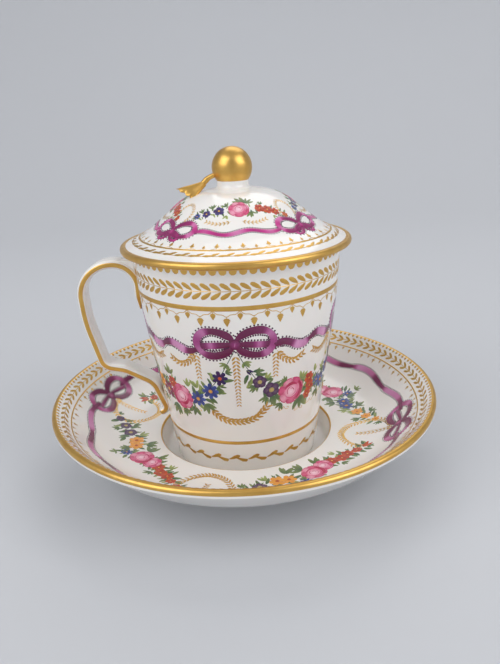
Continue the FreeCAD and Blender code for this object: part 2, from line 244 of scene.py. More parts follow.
class Layer:
    """Brush marks on a skin. Each is a thin pillow whose edge sinks into the glaze."""

    def __init__(self, skin, lift):
        self.skin, self.lift = skin, lift
        self.points, self.faces, self.tints = [], [], []

    def add(self, around, along, lift, colour):
        self.points.append(self.skin.point(around, along, lift))
        self.tints.append((*colour, 1.0))
        return len(self.points) - 1

    def strip(self, place, line, halves, colours=GOLD, edges=None, raised=0.0):
        """A stroke along a line, as wide as its half widths say. Colours run along it."""
        lift = self.lift + raised
        steps = (1.0, 0.72, 0.0, -0.72, -1.0) if max(halves) > 0.7 else (1.0, 0.0, -1.0)
        rows = []
        end = len(line) - 1
        for i, (x, y) in enumerate(line):
            before, after = line[max(i - 1, 0)], line[min(i + 1, end)]
            run = Vector((after[0] - before[0], after[1] - before[1])).normalized()
            share = i / end
            colour = pick(colours, share)
            rim = pick(edges, share) if edges else colour
            row = []
            for step in steps:
                spot = place.at(x - run.y * halves[i] * step, y + run.x * halves[i] * step)
                outer = abs(step) == 1.0 or i in (0, end)
                row.append(self.add(*spot, SINK if outer else lift, rim if outer else colour))
            rows.append(row)
        for near, far in zip(rows, rows[1:]):
            for i in range(len(steps) - 1):
                self.faces.append((near[i + 1], far[i + 1], far[i], near[i]))

    def disc(self, place, radius, heart=GOLD, rim=GOLD, raised=0.0, sides=8, squash=1.0):
        """A round dab, darker or lighter towards its rim."""
        lift = self.lift + raised
        centre = self.add(*place.at(0, 0), lift, heart)
        shares = [1.0] if radius < 0.8 else [0.45, 0.85, 1.0]
        rings = []
        for share in shares:
            ring = []
            for i in range(sides):
                angle = math.tau * i / sides
                x, y = radius * share * math.cos(angle), radius * share * math.sin(angle) * squash
                ring.append(self.add(*place.at(x, y), SINK if share == 1.0 else lift,
                                     blend(heart, rim, share)))
            rings.append(ring)
        for i in range(sides):
            j = (i + 1) % sides
            self.faces.append((centre, rings[0][i], rings[0][j]))
            for inner, outer in zip(rings, rings[1:]):
                self.faces.append((inner[i], outer[i], outer[j], inner[j]))

    def leaf(self, place, length, width, base=GOLD, tip=GOLD, rib=None, raised=0.0, bend=0.0,
             blunt=0.0):
        """A leaf or petal from the place's origin along its x. A sharp one is widest before
        its middle, a blunt one near its round end."""
        line = [(length * t, bend * length * t * t) for t in (0, 0.2, 0.45, 0.75, 0.93, 1.0)]
        halves = [width * (sharp + (full - sharp) * blunt) / 2 for sharp, full in
                  ((0.2, 0.15), (0.8, 0.5), (1.0, 0.85), (0.66, 1.0), (0.22, 0.74), (0.04, 0.3))]
        self.strip(place, line, halves, (rib or base, tip), (base, tip), raised)

    def ring(self, along, width):
        """A line or band right round the piece."""
        steps = sizes().turning_steps
        across = max(3, 2 + math.ceil(width / 0.5))
        rows = []
        for i in range(steps):
            around = math.tau * i / steps
            row = []
            for j in range(across):
                share = j / (across - 1)
                lift = SINK if j in (0, across - 1) else self.lift
                if 0 < j < across - 1:
                    share = 0.12 + 0.76 * (j - 1) / max(across - 3, 1) if across > 3 else 0.5
                row.append(self.add(around, along + width * (share - 0.5), lift, GOLD))
            rows.append(row)
        for near, far in zip(rows, rows[1:] + rows[:1]):
            for j in range(across - 1):
                quad = (near[j], far[j], far[j + 1], near[j + 1])
                self.faces.append(quad if self.skin.hand > 0 else quad[::-1])

    def build(self, name, finish):
        thing = new_object(name, self.points, self.faces)
        paint = thing.data.color_attributes.new("paint", "FLOAT_COLOR", "POINT")
        paint.data.foreach_set("color", [value for colour in self.tints for value in colour])
        finished(thing, finish, 60)


def pick(colours, share):
    """A colour out of a run of colours, share of the way along."""
    if not isinstance(colours[0], tuple):
        return colours
    place = share * (len(colours) - 1)
    first = min(int(place), len(colours) - 2)
    return blend(colours[first], colours[first + 1], place - first)


def new_object(name, points, faces, edges=()):
    """A new mesh object, which becomes the selected and active one."""
    mesh = bpy.data.meshes.new(name)
    mesh.from_pydata(points, edges, faces)
    thing = bpy.data.objects.new(name, mesh)
    bpy.context.scene.collection.objects.link(thing)
    bpy.ops.object.select_all(action="DESELECT")
    thing.select_set(True)
    bpy.context.view_layer.objects.active = thing
    return thing


def face_outward():
    """Turns the normals of the mesh that is being edited outward, and ends the editing."""
    bpy.ops.mesh.select_all(action="SELECT")
    bpy.ops.mesh.normals_make_consistent(inside=False)
    bpy.ops.object.mode_set(mode="OBJECT")


def finished(thing, finish, smooth):
    """Smooths the active piece, gives it its material, and lets it ride on the part."""
    thing.data.materials.append(made_once(finish))
    bpy.ops.object.shade_smooth_by_angle(angle=math.radians(smooth))
    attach(thing, "root")
    return thing


def turned(name, corners, finish):
    """Spins an outline about the upright axis, as on the potter's wheel."""
    points = rounded(corners)
    thing = new_object(name, [(p.x * MM, 0, p.y * MM) for p in points], [],
                       [(i, i + 1) for i in range(len(points) - 1)])
    bpy.ops.object.mode_set(mode="EDIT")
    bpy.ops.mesh.select_all(action="SELECT")
    bpy.ops.mesh.spin(steps=sizes().turning_steps, angle=math.tau, center=(0, 0, 0),
                      axis=(0, 0, 1))
    bpy.ops.mesh.select_all(action="SELECT")
    bpy.ops.mesh.remove_doubles(threshold=WELD)
    bpy.ops.mesh.dissolve_degenerate(threshold=WELD)
    face_outward()
    return finished(thing, finish, 32)


# Materials
def add_node(tree, kind, settings=None, links=None):
    """Adds a node, sets its properties and sockets, and links its inputs to other outputs."""
    node = tree.nodes.new(kind)
    for key, value in (settings or {}).items():
        if hasattr(node, key):
            setattr(node, key, value)
        else:
            node.inputs[key].default_value = value
    for key, source in (links or {}).items():
        tree.links.new(source, node.inputs[key])
    return node


def new_material(name):
    material = bpy.data.materials.new(name)
    material.use_nodes = True
    tree = material.node_tree
    tree.nodes.clear()
    shader = add_node(tree, "ShaderNodeBsdfPrincipled")
    output = add_node(tree, "ShaderNodeOutputMaterial")
    tree.links.new(shader.outputs["BSDF"], output.inputs["Surface"])
    coordinates = add_node(tree, "ShaderNodeTexCoord").outputs["Object"]
    return material, tree, shader, coordinates


def glazed_porcelain():
    """Hard-paste porcelain under a clear fired glaze: a warm white that lies a little thicker
    in places, with a wet shine and the faintest orange-peel waver in its reflections."""
    material, tree, shader, coordinates = new_material("glazed_porcelain")
    cloud = add_node(tree, "ShaderNodeTexNoise", {"Scale": 1 / (26 * MM)},
                     {"Vector": coordinates})
    ripple = add_node(tree, "ShaderNodeTexNoise", {"Scale": 1 / (5 * MM)},
                      {"Vector": coordinates})
    body = add_node(tree, "ShaderNodeMix", {"data_type": "RGBA"}, {"Factor": cloud.outputs["Fac"]})
    body.inputs[6].default_value = (*tint("glaze"), 1)
    body.inputs[7].default_value = (*tint("glaze_shade"), 1)
    tree.links.new(body.outputs[2], shader.inputs["Base Color"])
    waver = add_node(tree, "ShaderNodeBump", {"Strength": 0.12, "Distance": 0.0001},
                     {"Height": ripple.outputs["Fac"]})
    tree.links.new(waver.outputs["Normal"], shader.inputs["Normal"])
    for socket, value in (("Roughness", 0.16), ("IOR", 1.5), ("Subsurface Weight", 0.06),
                          ("Subsurface Scale", 0.002), ("Coat Weight", 0.35),
                          ("Coat Roughness", 0.04)):
        shader.inputs[socket].default_value = value
    return material


def burnished_gilding():
    """Gold fired onto the glaze and rubbed with agate: bright metal, brushed on unevenly, so
    its tone and shine shift over a few millimetres and thin places look browner."""
    material, tree, shader, coordinates = new_material("burnished_gilding")
    brushing = add_node(tree, "ShaderNodeTexNoise", {"Scale": 1 / (4.5 * MM), "Detail": 3},
                        {"Vector": coordinates}).outputs["Fac"]
    hairs = add_node(tree, "ShaderNodeTexNoise", {"Scale": 1 / (0.7 * MM)},
                     {"Vector": coordinates})
    leafing = add_node(tree, "ShaderNodeMix", {"data_type": "RGBA"}, {"Factor": brushing})
    leafing.inputs[6].default_value = (*tint("gold"), 1)
    leafing.inputs[7].default_value = (*tint("gold_worn"), 1)
    tree.links.new(leafing.outputs[2], shader.inputs["Base Color"])
    shine = add_node(tree, "ShaderNodeMapRange", {"To Min": 0.26, "To Max": 0.44},
                     {"Value": brushing})
    tree.links.new(shine.outputs["Result"], shader.inputs["Roughness"])
    strokes = add_node(tree, "ShaderNodeBump", {"Strength": 0.2, "Distance": 0.00005},
                       {"Height": hairs.outputs["Fac"]})
    tree.links.new(strokes.outputs["Normal"], shader.inputs["Normal"])
    shader.inputs["Metallic"].default_value = 1.0
    return material


def overglaze_enamel():
    """Coloured glass painted on the glaze and fired: the brush's colour with its light and
    dark strokes, slightly raised, and a little less shiny than the glaze."""
    material, tree, shader, coordinates = new_material("overglaze_enamel")
    brush = add_node(tree, "ShaderNodeAttribute", {"attribute_name": "paint"}).outputs["Color"]
    hairs = add_node(tree, "ShaderNodeTexNoise", {"Scale": 1 / (0.6 * MM)},
                     {"Vector": coordinates})
    streak = add_node(tree, "ShaderNodeMapRange", {"To Min": 0.86, "To Max": 1.14},
                      {"Value": hairs.outputs["Fac"]})
    worked = add_node(tree, "ShaderNodeVectorMath", {"operation": "SCALE"},
                      {0: brush, "Scale": streak.outputs["Result"]})
    tree.links.new(worked.outputs["Vector"], shader.inputs["Base Color"])
    for socket, value in (("Roughness", 0.26), ("IOR", 1.5), ("Coat Weight", 0.3),
                          ("Coat Roughness", 0.06)):
        shader.inputs[socket].default_value = value
    return material


def matt_backdrop():
    """Painted board, matt, so that it shows only the object's soft shadow."""
    material, _, shader, _ = new_material("matt_backdrop")
    shader.inputs["Base Color"].default_value = (*tint("floor"), 1)
    shader.inputs["Roughness"].default_value = 0.7
    return material


def made_once(maker):
    """The material of one of the functions above."""
    return bpy.data.materials.get(maker.__name__) or maker()


def paced(line, due, pace):
    """Walks a line and stops first after `due` millimetres, then after each further pace.
    Gives the number of the stretch, the spot, the stretch's direction and the way so far."""
    walked = 0.0
    for i, (first, last) in enumerate(zip(line, line[1:])):
        run = Vector((last[0] - first[0], last[1] - first[1]))
        while run.length > 0 and due <= walked + run.length:
            yield i, Vector(first) + run * ((due - walked) / run.length), run, due
            due += pace(due)
        walked += run.length


# Gilded motifs
def laurel(layer, place, line, leaf=1.9, pitch=1.5, stem=0.14, spread=42, taper=0.0):
    """A swag or pendant of small gilt leaves in pairs along a line of points."""
    whole = sum(math.dist(a, b) for a, b in zip(line, line[1:]))
    layer.strip(place, line, [stem] * len(line))
    for _, spot, run, due in paced(line, pitch * 0.5,
                                   lambda due: pitch * (1 - taper * 0.4 * due / whole)):
        heading = math.degrees(math.atan2(run.y, run.x))
        long = leaf * (1 - taper * due / whole)
        for side in (1, -1):
            layer.leaf(place.beside(spot.x, spot.y, heading + side * spread), long, long * 0.44,
                       bend=-side * 0.15, blunt=0.35)


def curve(points, steps=6):
    """A smooth run through a few points."""
    line = []
    count = len(points)
    for i in range(count - 1):
        p0, p1 = points[max(i - 1, 0)], points[i]
        p2, p3 = points[i + 1], points[min(i + 2, count - 1)]
        for k in range(steps):
            t = k / steps
            line.append(tuple(
                0.5 * (2 * b + (c - a) * t + (2 * a - 5 * b + 4 * c - d) * t * t
                       + (3 * b - a - 3 * c + d) * t ** 3)
                for a, b, c, d in zip(p0, p1, p2, p3)))
    line.append(points[-1])
    return line


def drop(layer, place, stem, length, width):
    """A small pendant leaf on a stalk, pointing down."""
    layer.strip(place, [(0, 0.1), (0, -stem / 2), (0, -stem - 0.1)], [0.15] * 3)
    tip = -stem * 0.8
    layer.strip(place, [(0, tip - length * t) for t in (0, 0.25, 0.45, 0.7, 1)],
                [width * w / 2 for w in (0.12, 0.7, 1, 0.55, 0.04)])
    for side in (-1, 1):
        layer.leaf(place.beside(0, -stem, -90 + side * 52), length * 0.5, width * 0.4)


# Enamel motifs
def silk_of(piece):
    """The shaded, middle and light tones of a piece's ribbon."""
    own = "ribbon" if piece == "cup" else piece + "_ribbon"
    return (tint(own + "_dark"), tint(own), tint("ribbon_pale"))


def ribbon(layer, place, line, half, faces, silk, picot=1.05, raised=0.01):
    """A silk ribbon: its faces take turns along the line, and picots edge both sides.
    `faces` lists (share, width share, tone), from tone 0 for shade to 1 for light.
    The picots are drawn coarser and further apart than the real ones, so that they show."""
    dots = tint("ribbon_edge")
    halves, tones = [], []
    for i in range(len(line)):
        share = i / (len(line) - 1)
        k = next(j for j in range(len(faces) - 1) if faces[j + 1][0] >= share)
        (s0, w0, t0), (s1, w1, t1) = faces[k], faces[k + 1]
        mix = (share - s0) / (s1 - s0)
        mix = mix * mix * (3 - 2 * mix)
        halves.append(half * (w0 + (w1 - w0) * mix))
        tones.append(pick(silk, (t0 + (t1 - t0) * mix) ** 1.5))
    edges = [blend(tone, silk[0], 0.4) for tone in tones]
    layer.strip(place, line, halves, tones, edges, raised)
    for i, spot, run, _ in paced(line, picot / 2, lambda due: picot):
        across = Vector((-run.y, run.x)).normalized()
        for side in (-1, 1):
            dot = spot + across * side * (halves[i] + picot * 0.28)
            layer.disc(place.beside(dot.x, dot.y), picot * 0.4, dots, dots, 0.03, 7)


def loop(layer, place, reach, rise, half, silk, picot=1.05, tones=(0.1, 0.0, 0.6, 0.8)):
    """One loop of a bow, from the knot out along x and back, shaded near the knot."""
    line = []
    for i in range(37):
        angle = 0.16 + (math.tau - 0.32) * i / 36
        out = (1 - math.cos(angle)) / 2
        line.append((reach * out, rise * math.sin(angle) * (0.82 + 0.3 * out)))
    near, fold, face, light = tones
    faces = [(0, 0.5, near), (0.16, 1.0, fold), (0.3, 1.05, fold + 0.2), (0.38, 0.8, light),
             (0.52, 1, face), (0.66, 1.0, light), (0.74, 0.85, fold), (0.88, 1.0, near),
             (1, 0.45, near)]
    ribbon(layer, place, line, half, faces, silk, picot)


def knot(layer, place, size, silk):
    layer.disc(place, size, pick(silk, 0.4), silk[0], 0.05, 12, 0.92)
    layer.leaf(place.beside(-size * 0.1, -size * 0.55, 80), size * 1.1, size * 0.55,
               pick(silk, 0.55), silk[2], None, 0.075)


def crescent(layer, place, radius, start, stop, half, colours, raised):
    """A curved brush stroke about the place's origin, thick in its middle."""
    line, halves = [], []
    for i in range(8):
        angle = math.radians(start + (stop - start) * i / 7)
        line.append((radius * math.cos(angle), radius * math.sin(angle)))
        halves.append(half * max(0.08, math.sin(math.pi * i / 7)))
    layer.strip(place, line, halves, colours, None, raised)


def rose(layer, place, radius):
    """A blown rose: deep pink petals laid round a pale cup, with crimson folds at its heart."""
    pink, pale, deep = tint("rose"), tint("rose_pale"), tint("rose_deep")
    layer.disc(place, radius * 0.9, blend(pale, pink, 0.25), pink, 0.02, 16)
    for i, tone in enumerate((0.5, 1.0, 0.4, 1.0, 0.35, 0.9, 1.0)):
        petal = place.beside(0, 0, i * 51.4 + 12)
        outer = blend(pink, deep, tone)
        crescent(layer, petal, radius * 0.8, -40, 40, radius * 0.27,
                 (outer, blend(pink, pale, 0.8 - 0.7 * tone), outer), 0.03 + 0.003 * (i % 3))
        crescent(layer, petal, radius * 1.0, -30, 30, radius * 0.07,
                 (pink, blend(pink, deep, 0.7), pink), 0.035)
    crescent(layer, place, radius * 0.82, -75, 65, radius * 0.2,
             (deep, blend(pink, deep, 0.75), deep), 0.045)
    layer.disc(place.beside(-radius * 0.04, -radius * 0.06), radius * 0.52, pale,
               blend(pale, pink, 0.6), 0.045, 14)
    strokes = ((200, 372, 0.56, 0.1, 0.3), (30, 170, 0.58, 0.16, 1.0), (250, 400, 0.36, 0.08, 0.6),
               (70, 240, 0.36, 0.13, 0.9), (330, 500, 0.2, 0.12, 1.0))
    for i, (start, stop, at, half, tone) in enumerate(strokes):
        crescent(layer, place, radius * at, start, stop, radius * half,
                 (blend(pink, deep, 0.3), blend(pink, deep, tone), blend(pink, deep, 0.3)),
                 0.06 + 0.006 * i)


def daisy(layer, place, radius, petals, base, tip, heart, width=0.5):
    """An open flower of separate blunt brush strokes round a small heart."""
    for i in range(petals):
        shade = 0.3 * ((i * 7) % 3)
        layer.leaf(place.beside(0, 0, 360 * i / petals), radius * (0.92 + 0.04 * (i % 3)),
                   radius * width, blend(base, tip, 0.1), blend(tip, base, shade), base,
                   0.03 + 0.003 * (i % 3), 0, 0.8)
    layer.disc(place, radius * 0.27, heart, blend(heart, base, 0.5), 0.07)


def pansy(layer, place, radius):
    """Dark ring of five petals with pale veins round an olive heart."""
    violet, olive, pale = tint("violet"), tint("olive"), tint("rose_pale")
    for i in range(5):
        petal = place.beside(0, 0, 90 + 72 * i).beside(radius * 0.5, 0)
        layer.disc(petal, radius * 0.58, blend(violet, pale, 0.1), violet, 0.03 + 0.004 * i, 9)
    for i in range(5):
        layer.leaf(place.beside(0, 0, 54 + 72 * i), radius * 0.95, radius * 0.2, violet, violet,
                   None, 0.06)
    layer.disc(place, radius * 0.38, olive, blend(olive, violet, 0.35), 0.065, 10)
    for i in range(5):
        layer.leaf(place.beside(0, 0, 90 + 72 * i), radius * 0.45, radius * 0.11, violet,
                   violet, None, 0.075)
    layer.disc(place, radius * 0.16, tint("yellow"), tint("orange_deep"), 0.09, 7)


def bud(layer, place, radius, petal, shade):
    green = tint("green")
    layer.leaf(place.beside(-radius, 0, 18), radius * 1.9, radius * 0.8, shade, petal, None, 0.03)
    layer.leaf(place.beside(-radius, 0, -16), radius * 1.8, radius * 0.75, petal, shade, None,
               0.034)
    layer.leaf(place.beside(-radius, 0, 2), radius * 1.0, radius * 0.5, green,
               tint("green_pale"), None, 0.045)


def leaf_tones(share):
    """Base, tip and rib of a leaf, from dark green to pale yellow green."""
    dark, light = tint("green"), tint("green_pale")
    tone = blend(dark, light, min(1.0, share))
    return tone, blend(tone, light, 0.35), blend(dark, tone, 0.35)


def foliage(layer, place, count, length, spread, pale=0.0, seed=1):
    """A fan of leaves that opens along the place's x."""
    chance = random.Random(seed)
    for i in range(count):
        turn = spread * ((i + 0.5) / count - 0.5) + chance.uniform(-9, 9)
        reach = length * chance.uniform(0.75, 1.1)
        base, tip, rib = leaf_tones(pale + chance.uniform(0, 0.3))
        layer.leaf(place.beside(0, 0, turn), reach, reach * 0.4, base, tip, rib,
                   0.004 * (i % 4), chance.uniform(-0.18, 0.18), 0.25)


def greenery(layer, skin, degrees, garland, step, reach, seed):
    """Small leaves crowded along a garland, under its flowers."""
    chance = random.Random(seed)
    flowers = sorted((d, s) for kind, d, s, size, turn in garland if kind not in SPRAYS)
    middle = sum(s for d, s in flowers) / len(flowers)
    scale = skin.hand * math.radians(1) * skin.ring(middle)[0]
    start = Place(skin, degrees, middle)
    line = curve([(d * scale, s - middle) for d, s in flowers], 4)
    for _, spot, run, _ in paced(line, 0.0, lambda due: step * chance.uniform(0.8, 1.2)):
        heading = math.degrees(math.atan2(run.y, run.x))
        for side in (1, -1):
            base, tip, rib = leaf_tones(chance.choice((0.0, 0.0, 0.12, 0.35, 0.85)))
            turn = heading + side * chance.uniform(35, 95)
            length = reach * chance.uniform(0.7, 1.15)
            layer.leaf(start.beside(spot.x, spot.y, turn).beside(reach * 0.25, 0), length,
                       length * 0.38, base, tip, rib, chance.uniform(-0.012, 0.006),
                       chance.uniform(-0.2, 0.2), 0.2)


def tendril(layer, place, seed):
    """A hair-thin gilt curl below the garland."""
    chance = random.Random(seed)
    for side in (-1, 1):
        reach = chance.uniform(1.6, 2.6)
        line = curve([(0, 1.2), (side * reach * 0.3, 0), (side * reach * 0.9, -0.3),
                      (side * reach, 0.5), (side * reach * 0.6, 0.6)], 3)
        layer.strip(place, line, [0.13] * len(line))


# Open flowers: petals, colour at their base and tip, heart, width of a petal
DAISIES = {"blue": (8, "blue_deep", "blue", "yellow", 0.52),
           "navy": (7, "violet", "blue_deep", "orange", 0.55),
           "orange": (6, "orange_deep", "orange", "yellow", 0.82),
           "magenta": (6, "ribbon_dark", "rose_deep", "yellow", 0.72)}
# Sprays: leaves, degrees over which they fan out, share of pale green
SPRAYS = {"leaves": (4, 110, 0.05), "pale_leaves": (3, 80, 0.75), "sprig": (5, 150, 0.35)}
BUDS = {"bud": ("orange", "orange_deep"), "violet_bud": ("violet", "blue_deep")}


def flower(layer, skin, kind, degrees, along, size, turn=0.0):
    place = Place(skin, degrees, along, turn)
    if kind == "rose":
        rose(layer, place, size)
    elif kind == "pansy":
        pansy(layer, place, size)
    elif kind == "viola":
        daisy(layer, place, size, 5, tint("violet"), blend(tint("violet"), tint("blue"), 0.45),
              tint("violet"), 0.95)
        layer.disc(place, size * 0.36, tint("yellow"), tint("olive"), 0.1, 7)
    elif kind == "yellow":
        daisy(layer, place, size, 6, blend(tint("yellow"), tint("orange"), 0.3), tint("yellow"),
              tint("orange_deep"), 0.75)
    elif kind in DAISIES:
        petals, base, tip, heart, width = DAISIES[kind]
        daisy(layer, place, size, petals, tint(base), tint(tip), tint(heart), width)
    elif kind in BUDS:
        bud(layer, place, size, *(tint(name) for name in BUDS[kind]))
    else:
        count, spread, pale = SPRAYS[kind]
        foliage(layer, place, count, size, spread, pale, int(degrees * 10) % 97)


def stalks(layer, skin, degrees, points):
    """A thin green stem through (degrees, along) points counted from a bow."""
    radius = skin.ring(points[0][1])[0]
    start = Place(skin, degrees, points[0][1])
    line = curve([(skin.hand * math.radians(a) * radius, s - points[0][1]) for a, s in points], 5)
    layer.strip(start, line, [0.16] * len(line), tint("green"))


def festoon(layer, skin, degrees, garland, step, reach, seed, stems=()):
    """A whole garland from a bow: small leaves, then stems, then its flowers."""
    greenery(layer, skin, degrees, garland, step, reach, seed)
    for stem in stems:
        stalks(layer, skin, degrees, stem)
    for kind, past, along, size, turn in garland:
        flower(layer, skin, kind, degrees + past, along, size, turn)


# Garlands between two bows: kind, degrees from the bow, millimetres along the profile, size, turn
CUP_STEMS = [[(0.8, 54.5), (4.5, 49.5), (9, 45), (14, 41), (24, 37), (36, 34)],
             [(89.2, 54.5), (85.2, 50), (80, 44.5), (73, 39.5), (64, 35.5), (52, 33.5)]]
CUP_GARLANDS = [
    [("sprig", 4.5, 50.5, 3.0, -60), ("sprig", 84.6, 49.8, 3.2, -120),
     ("violet_bud", 7.4, 46.2, 1.5, -40), ("leaves", 10.8, 45.6, 3.0, 20),
     ("leaves", 10.5, 40.2, 3.2, 200), ("pale_leaves", 16.5, 42.6, 3.6, 55),
     ("leaves", 17.5, 35.4, 3.6, 245), ("leaves", 22.5, 35.2, 4.0, 285),
     ("pansy", 13.0, 41.9, 2.5, 0), ("pansy", 20.2, 38.0, 3.0, 20),
     ("leaves", 27.0, 31.6, 3.6, 235), ("leaves", 41.0, 32.2, 5.6, 285),
     ("leaves", 29.5, 40.0, 3.0, 120), ("pale_leaves", 41.5, 38.4, 4.4, 70),
     ("leaves", 46.5, 33.0, 4.6, 320), ("rose", 34.0, 35.6, 5.2, 0),
     ("orange", 48.6, 38.0, 2.7, 10), ("orange", 49.8, 34.6, 2.6, 40),
     ("orange", 47.8, 31.6, 2.2, 0), ("pale_leaves", 54.0, 39.4, 3.2, 80),
     ("leaves", 60.0, 31.0, 4.0, 250), ("blue", 57.6, 35.2, 2.8, 0),
     ("blue", 64.0, 33.8, 3.2, 0), ("pale_leaves", 64.6, 38.4, 3.8, 110),
     ("blue", 72.6, 37.9, 3.3, 0), ("leaves", 69.5, 33.0, 4.2, 300),
     ("leaves", 77.5, 40.2, 3.6, 330), ("pale_leaves", 70.0, 42.6, 3.0, 110),
     ("navy", 79.6, 43.6, 3.1, 0), ("leaves", 83.4, 46.4, 2.8, 10)],
    [("sprig", 4.5, 50.5, 3.0, -60), ("sprig", 84.6, 49.8, 3.2, -120),
     ("violet_bud", 7.4, 46.2, 1.5, -40), ("leaves", 10.5, 40.2, 3.2, 200),
     ("pale_leaves", 16.5, 42.6, 3.6, 55), ("leaves", 22.5, 35.2, 4.0, 285),
     ("pansy", 13.0, 41.9, 2.5, 0), ("pansy", 20.2, 38.0, 3.0, 20),
     ("yellow", 28.0, 36.6, 3.0, 0), ("leaves", 30.5, 31.0, 4.0, 240),
     ("sprig", 42.0, 41.6, 4.2, 105), ("magenta", 37.0, 34.2, 3.7, 0),
     ("leaves", 44.0, 29.4, 5.2, 250), ("leaves", 50.5, 28.8, 4.4, 290),
     ("orange", 43.6, 38.4, 2.6, 0), ("rose", 50.6, 33.6, 5.0, 200),
     ("pale_leaves", 57.5, 38.6, 3.6, 90), ("leaves", 60.5, 30.6, 4.2, 265),
     ("blue", 63.9, 34.4, 3.3, 0), ("pale_leaves", 64.6, 38.9, 4.0, 110),
     ("blue", 73.2, 38.3, 3.4, 0), ("leaves", 69.5, 33.0, 4.4, 290),
     ("leaves", 77.5, 40.2, 3.6, 330), ("navy", 80.0, 43.9, 3.1, 0),
     ("leaves", 83.4, 46.4, 2.8, 10)],
]
LID_GARLAND = [
    ("pale_leaves", 14.0, 22.2, 1.8, 200), ("blue", 14.2, 22.7, 1.5, 0),
    ("leaves", 18.0, 24.6, 2.0, 140), ("viola", 21.6, 23.9, 1.6, 0),
    ("leaves", 25.5, 26.4, 2.2, 110), ("viola", 31.4, 25.3, 2.0, 36),
    ("leaves", 37.5, 27.2, 2.6, 120), ("pale_leaves", 38.0, 23.4, 2.2, 260),
    ("leaves", 52.0, 28.6, 4.4, 170), ("leaves", 54.5, 28.4, 4.0, 60),
    ("leaves", 57.0, 24.6, 2.8, 280), ("rose", 47.8, 26.0, 3.4, 0),
    ("orange", 65.6, 25.6, 1.9, 0), ("orange", 71.8, 24.6, 2.0, 30),
    ("leaves", 68.0, 27.2, 1.8, 70), ("orange", 77.6, 23.3, 1.8, 10),
    ("pale_leaves", 74.0, 21.8, 1.8, 280), ("orange", 84.4, 21.2, 1.3, 0)]
SAUCER_GARLAND = [
    ("leaves", 8.5, 20.0, 2.6, 200), ("pansy", 11.5, 18.6, 1.7, 0),
    ("pansy", 16.5, 15.2, 2.1, 0), ("leaves", 19.6, 17.4, 3.0, 60),
    ("leaves", 15.5, 12.2, 3.2, 250), ("pansy", 22.6, 12.6, 2.4, 0),
    ("leaves", 27.5, 14.4, 3.4, 60), ("pale_leaves", 26.0, 8.8, 3.4, 250),
    ("leaves", 36.5, 6.8, 4.4, 300), ("yellow", 31.0, 10.2, 2.9, 0),
    ("yellow", 36.2, 10.8, 2.7, 20), ("leaves", 38.5, 13.8, 3.6, 100),
    ("blue", 41.5, 15.6, 2.3, 0), ("sprig", 41.0, 19.4, 2.8, 95),
    ("leaves", 54.0, 7.6, 4.6, 320), ("leaves", 45.5, 7.4, 4.4, 230),
    ("rose", 48.4, 11.4, 4.0, 0), ("rose", 55.6, 10.0, 3.2, 90),
    ("orange", 61.4, 10.2, 2.3, 0), ("orange", 65.8, 12.2, 2.4, 0),
    ("leaves", 62.5, 14.0, 3.2, 90), ("orange", 70.2, 12.4, 2.4, 30),
    ("pale_leaves", 67.0, 8.4, 2.8, 260), ("orange", 74.4, 14.6, 1.9, 0),
    ("leaves", 77.5, 17.6, 2.8, 70), ("bud", 79.6, 17.2, 2.2, 30)]

# Faces of the cup's, the lid's and the saucer's ribbon: share, width share, tone
RIBBON_FACES = [(0, 0.55, 0.0), (0.1, 0.9, 0.1), (0.22, 0.85, 0.2), (0.3, 1.0, 1.0),
                (0.44, 0.95, 0.9), (0.5, 0.6, 0.1), (0.58, 0.85, 0.0), (0.66, 0.9, 0.9),
                (0.8, 1.0, 1.0), (0.88, 0.8, 0.1), (1.0, 0.55, 0.0)]
LID_RIBBON_FACES = [(0, 0.7, 0.3), (0.15, 1.0, 0.7), (0.3, 0.85, 0.45), (0.5, 1.0, 0.85),
                    (0.7, 0.85, 0.45), (0.85, 1.0, 0.75), (1, 0.7, 0.3)]
LONG_RIBBON_FACES = [
    (0, 0.6, 0.0), (0.05, 0.9, 0.0), (0.09, 0.8, 0.2), (0.13, 1.0, 0.8), (0.26, 1.0, 0.9),
    (0.3, 0.7, 0.1), (0.4, 1.0, 0.0), (0.44, 1.0, 0.75), (0.57, 1.1, 0.95), (0.6, 0.7, 0.1),
    (0.68, 1.0, 0.0), (0.72, 1.0, 0.7), (0.82, 1.0, 0.85), (0.85, 0.7, 0.1), (0.93, 0.9, 0.0),
    (0.96, 0.9, 0.4), (1.0, 0.55, 0.0)]


def meander(skin, first, last, along, swing, waves):
    """A wavy line round the piece between two angles, in the axes of its first end."""
    radius = skin.ring(along)[0]
    count = 48
    return [(math.radians(last - first) * radius * i / count,
             swing * math.sin(math.tau * waves * i / count)) for i in range(count + 1)]


def evenly(skin, count, along, turn=0.0):
    """Places set evenly round a piece, with their numbers."""
    return [(i, Place(skin, 360 * i / count, along, turn)) for i in range(count)]


def bow_angles(first, gap=None):
    """Angles of the bows round a piece. The painter set the first two `gap` degrees apart."""
    count = sizes().bows
    gap = gap or 360 / count
    return [first] + [first + gap + (360 - gap) * i / (count - 1) for i in range(count - 1)]


